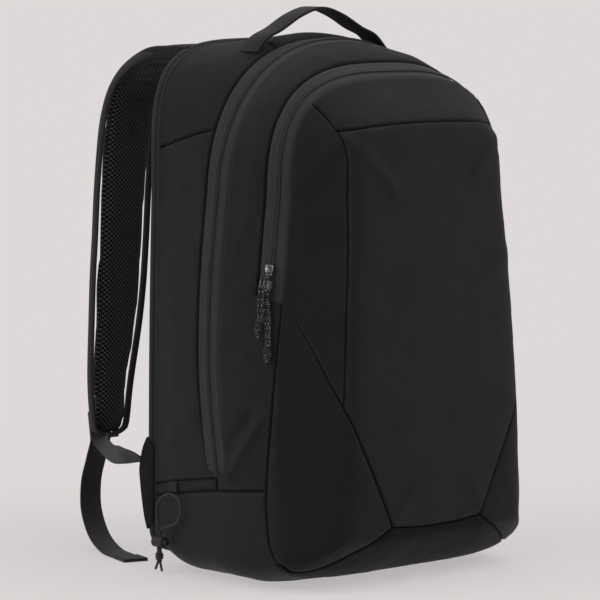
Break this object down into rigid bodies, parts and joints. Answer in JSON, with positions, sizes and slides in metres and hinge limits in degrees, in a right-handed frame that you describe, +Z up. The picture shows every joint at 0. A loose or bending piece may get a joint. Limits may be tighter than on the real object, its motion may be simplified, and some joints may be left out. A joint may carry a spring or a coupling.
{
  "type": "school backpack",
  "caption": "Soft black backpack with two zipped compartments, padded back and shoulder straps, webbing handle and a cord loop with a lock.",
  "frame": {"origin": "centre of the flat under the base, where the bag stands", "axes": "+Z up, +X to the right when the front face is looked at, -Y out of the front face, +Y towards the wearer"},
  "size_m": [0.3309, 0.3917, 0.5314],
  "materials": {
    "face_fabric": "matte black woven polyester, fine plain weave",
    "coated_fabric": "smooth black coated fabric, slight sheen",
    "air_mesh": "black spacer mesh with small cells",
    "lining": "thin dark grey lining",
    "zip_tape": "black woven zip tape",
    "zip_coil": "black nylon coil",
    "webbing": "black ribbed polyester webbing",
    "buckle_plastic": "fine textured black plastic",
    "dark_metal": "gunmetal",
    "pull_cord": "black braided cord with light reflective flecks",
    "pull_end": "black knot and sleeve",
    "elastic_cord": "black braided elastic cord"
  },
  "bodies": {
    "root": {"rear_gusset": "face_fabric", "main_zip_tape_rear": "zip_tape", "main_zip_coil_rear": "zip_coil", "rear_binding": "webbing", "base_boot": "coated_fabric", "base_front": "coated_fabric", "back_pad": "air_mesh", "frame_sheet": "buckle_plastic", "laptop_sleeve": "lining", "strap_wing_left": "face_fabric", "strap_wing_right": "face_fabric", "lower_webbing_left": "webbing", "lower_webbing_right": "webbing", "cord_loop_tab": "face_fabric", "handle_tab_left": "face_fabric", "handle_tab_right": "face_fabric"},
    "front_half": {"mid_gusset": "face_fabric", "divider": "lining", "main_zip_tape_front": "zip_tape", "main_zip_coil_front": "zip_coil", "front_zip_tape_outer": "zip_tape", "front_zip_coil_outer": "zip_coil", "corner_panel_left": "coated_fabric", "corner_panel_right": "coated_fabric", "main_panel_lower": "face_fabric"},
    "front_flap": {"front_zip_tape_inner": "zip_tape", "front_zip_coil_inner": "zip_coil", "main_panel_upper": "face_fabric", "facet_panel_left": "face_fabric", "facet_panel_right": "face_fabric", "yoke_panel": "face_fabric"},
    "handle": {"carry_handle": "webbing"},
    "cord_loop": {"loop_cord_rear": "elastic_cord", "loop_cord_front": "elastic_cord", "loop_knot": "elastic_cord"},
    "cord_lock": {"cord_lock_barrel": "buckle_plastic", "cord_lock_spring": "dark_metal"},
    "cord_lock_button": {"cord_lock_button": "buckle_plastic"},
    "strap_left": {"strap_pad_left": "air_mesh", "strap_tail_left": "webbing"},
    "ladder_lock_left": {"ladder_lock_left": "buckle_plastic"},
    "strap_right": {"strap_pad_right": "air_mesh", "strap_tail_right": "webbing"},
    "ladder_lock_right": {"ladder_lock_right": "buckle_plastic"},
    "front_slider_upper": {"front_slider_upper": "dark_metal"},
    "front_pull_upper": {"front_pull_upper_cord_a": "pull_cord", "front_pull_upper_cord_b": "pull_cord", "front_pull_upper_knot": "pull_end"},
    "front_slider_lower": {"front_slider_lower": "dark_metal"},
    "front_pull_lower": {"front_pull_lower_cord_a": "pull_cord", "front_pull_lower_cord_b": "pull_cord", "front_pull_lower_knot": "pull_end"},
    "main_slider_upper": {"main_slider_upper": "dark_metal"},
    "main_pull_upper": {"main_pull_upper_cord_a": "pull_cord", "main_pull_upper_cord_b": "pull_cord", "main_pull_upper_knot": "pull_end"},
    "main_slider_lower": {"main_slider_lower": "dark_metal"},
    "main_pull_lower": {"main_pull_lower_cord_a": "pull_cord", "main_pull_lower_cord_b": "pull_cord", "main_pull_lower_knot": "pull_end"}
  },
  "joints": [
    {"name": "main_opening", "type": "hinge", "parent": "root", "child": "front_half", "pos_m": [0, -0.1455, 0.0875], "axis": [1, 0, 0], "range_deg": [0, 28]},
    {"name": "front_opening", "type": "hinge", "parent": "front_half", "child": "front_flap", "pos_m": [0, -0.1455, 0.27], "axis": [1, 0, 0], "range_deg": [0, 35]},
    {"name": "handle_swing", "type": "hinge", "parent": "root", "child": "handle", "pos_m": [0, 0.027, 0.5035], "axis": [1, 0, 0], "range_deg": [-35, 35], "stiffness_Nm_per_rad": 0.05},
    {"name": "strap_swing_left", "type": "hinge", "parent": "root", "child": "strap_left", "pos_m": [-0.074, 0.106, 0.487], "axis": [1, 0, 0], "range_deg": [0, 30]},
    {"name": "ladder_lock_tilt_left", "type": "hinge", "parent": "strap_left", "child": "ladder_lock_left", "pos_m": [-0.0885, 0.236, 0.12], "axis": [1, 0, 0], "range_deg": [-7, 7], "stiffness_Nm_per_rad": 0.02, "deforming": ["lower_webbing_left"]},
    {"name": "strap_swing_right", "type": "hinge", "parent": "root", "child": "strap_right", "pos_m": [0.074, 0.106, 0.487], "axis": [1, 0, 0], "range_deg": [0, 30]},
    {"name": "ladder_lock_tilt_right", "type": "hinge", "parent": "strap_right", "child": "ladder_lock_right", "pos_m": [0.0885, 0.236, 0.12], "axis": [1, 0, 0], "range_deg": [-7, 7], "stiffness_Nm_per_rad": 0.02, "deforming": ["lower_webbing_right"]},
    {"name": "front_slider_upper_slide", "type": "slide", "parent": "front_half", "child": "front_slider_upper", "axis": [0.0991, -0.0115, 0.995], "range_m": [0, 0.06], "deforming": ["front_pull_upper_cord_a", "front_pull_upper_cord_b", "front_pull_upper_knot", "front_pull_lower_cord_a", "front_pull_lower_cord_b"]},
    {"name": "front_pull_upper_swing", "type": "hinge", "parent": "front_slider_upper", "child": "front_pull_upper", "pos_m": [-0.14846, -0.06922, 0.29552], "axis": [0, 1, 0], "range_deg": [0, 100]},
    {"name": "front_slider_lower_slide", "type": "slide", "parent": "front_half", "child": "front_slider_lower", "axis": [0.0938, -0.0096, 0.9955], "range_m": [0, 0.003]},
    {"name": "front_pull_lower_swing", "type": "hinge", "parent": "front_slider_lower", "child": "front_pull_lower", "pos_m": [-0.14972, -0.0691, 0.28099], "axis": [0, 1, 0], "range_deg": [0, 100], "deforming": ["front_pull_upper_cord_a", "front_pull_upper_cord_b", "front_pull_lower_cord_a", "front_pull_lower_cord_b"]},
    {"name": "main_slider_upper_slide", "type": "slide", "parent": "front_half", "child": "main_slider_upper", "axis": [-0.0714, -0.0527, 0.9961], "range_m": [0, 0.05], "deforming": ["main_pull_upper_cord_a", "main_pull_upper_cord_b", "main_pull_upper_knot", "main_pull_lower_cord_a", "main_pull_lower_cord_b"]},
    {"name": "main_pull_upper_swing", "type": "hinge", "parent": "main_slider_upper", "child": "main_pull_upper", "pos_m": [0.1562, 0.00702, 0.30038], "axis": [0, -1, 0], "range_deg": [0, 100]},
    {"name": "main_slider_lower_slide", "type": "slide", "parent": "front_half", "child": "main_slider_lower", "axis": [-0.0474, 0.0186, 0.9987], "range_m": [-0.1, 0]},
    {"name": "main_pull_lower_swing", "type": "hinge", "parent": "main_slider_lower", "child": "main_pull_lower", "pos_m": [0.15711, 0.00751, 0.28586], "axis": [0, -1, 0], "range_deg": [0, 100], "deforming": ["main_pull_upper_cord_a", "main_pull_upper_cord_b", "main_pull_lower_cord_a", "main_pull_lower_cord_b"]},
    {"name": "cord_loop_swing", "type": "hinge", "parent": "root", "child": "cord_loop", "pos_m": [-0.16, 0.053, 0.0778], "axis": [0, 1, 0], "range_deg": [0, 60]},
    {"name": "cord_lock_slide", "type": "slide", "parent": "cord_loop", "child": "cord_lock", "axis": [0, 0, 1], "range_m": [0, 0.0045]},
    {"name": "cord_lock_press", "type": "slide", "parent": "cord_lock", "child": "cord_lock_button", "axis": [0, 1, 0], "range_m": [0, 0.0025], "stiffness_N_per_m": 400, "deforming": ["cord_lock_spring"]}
  ]
}
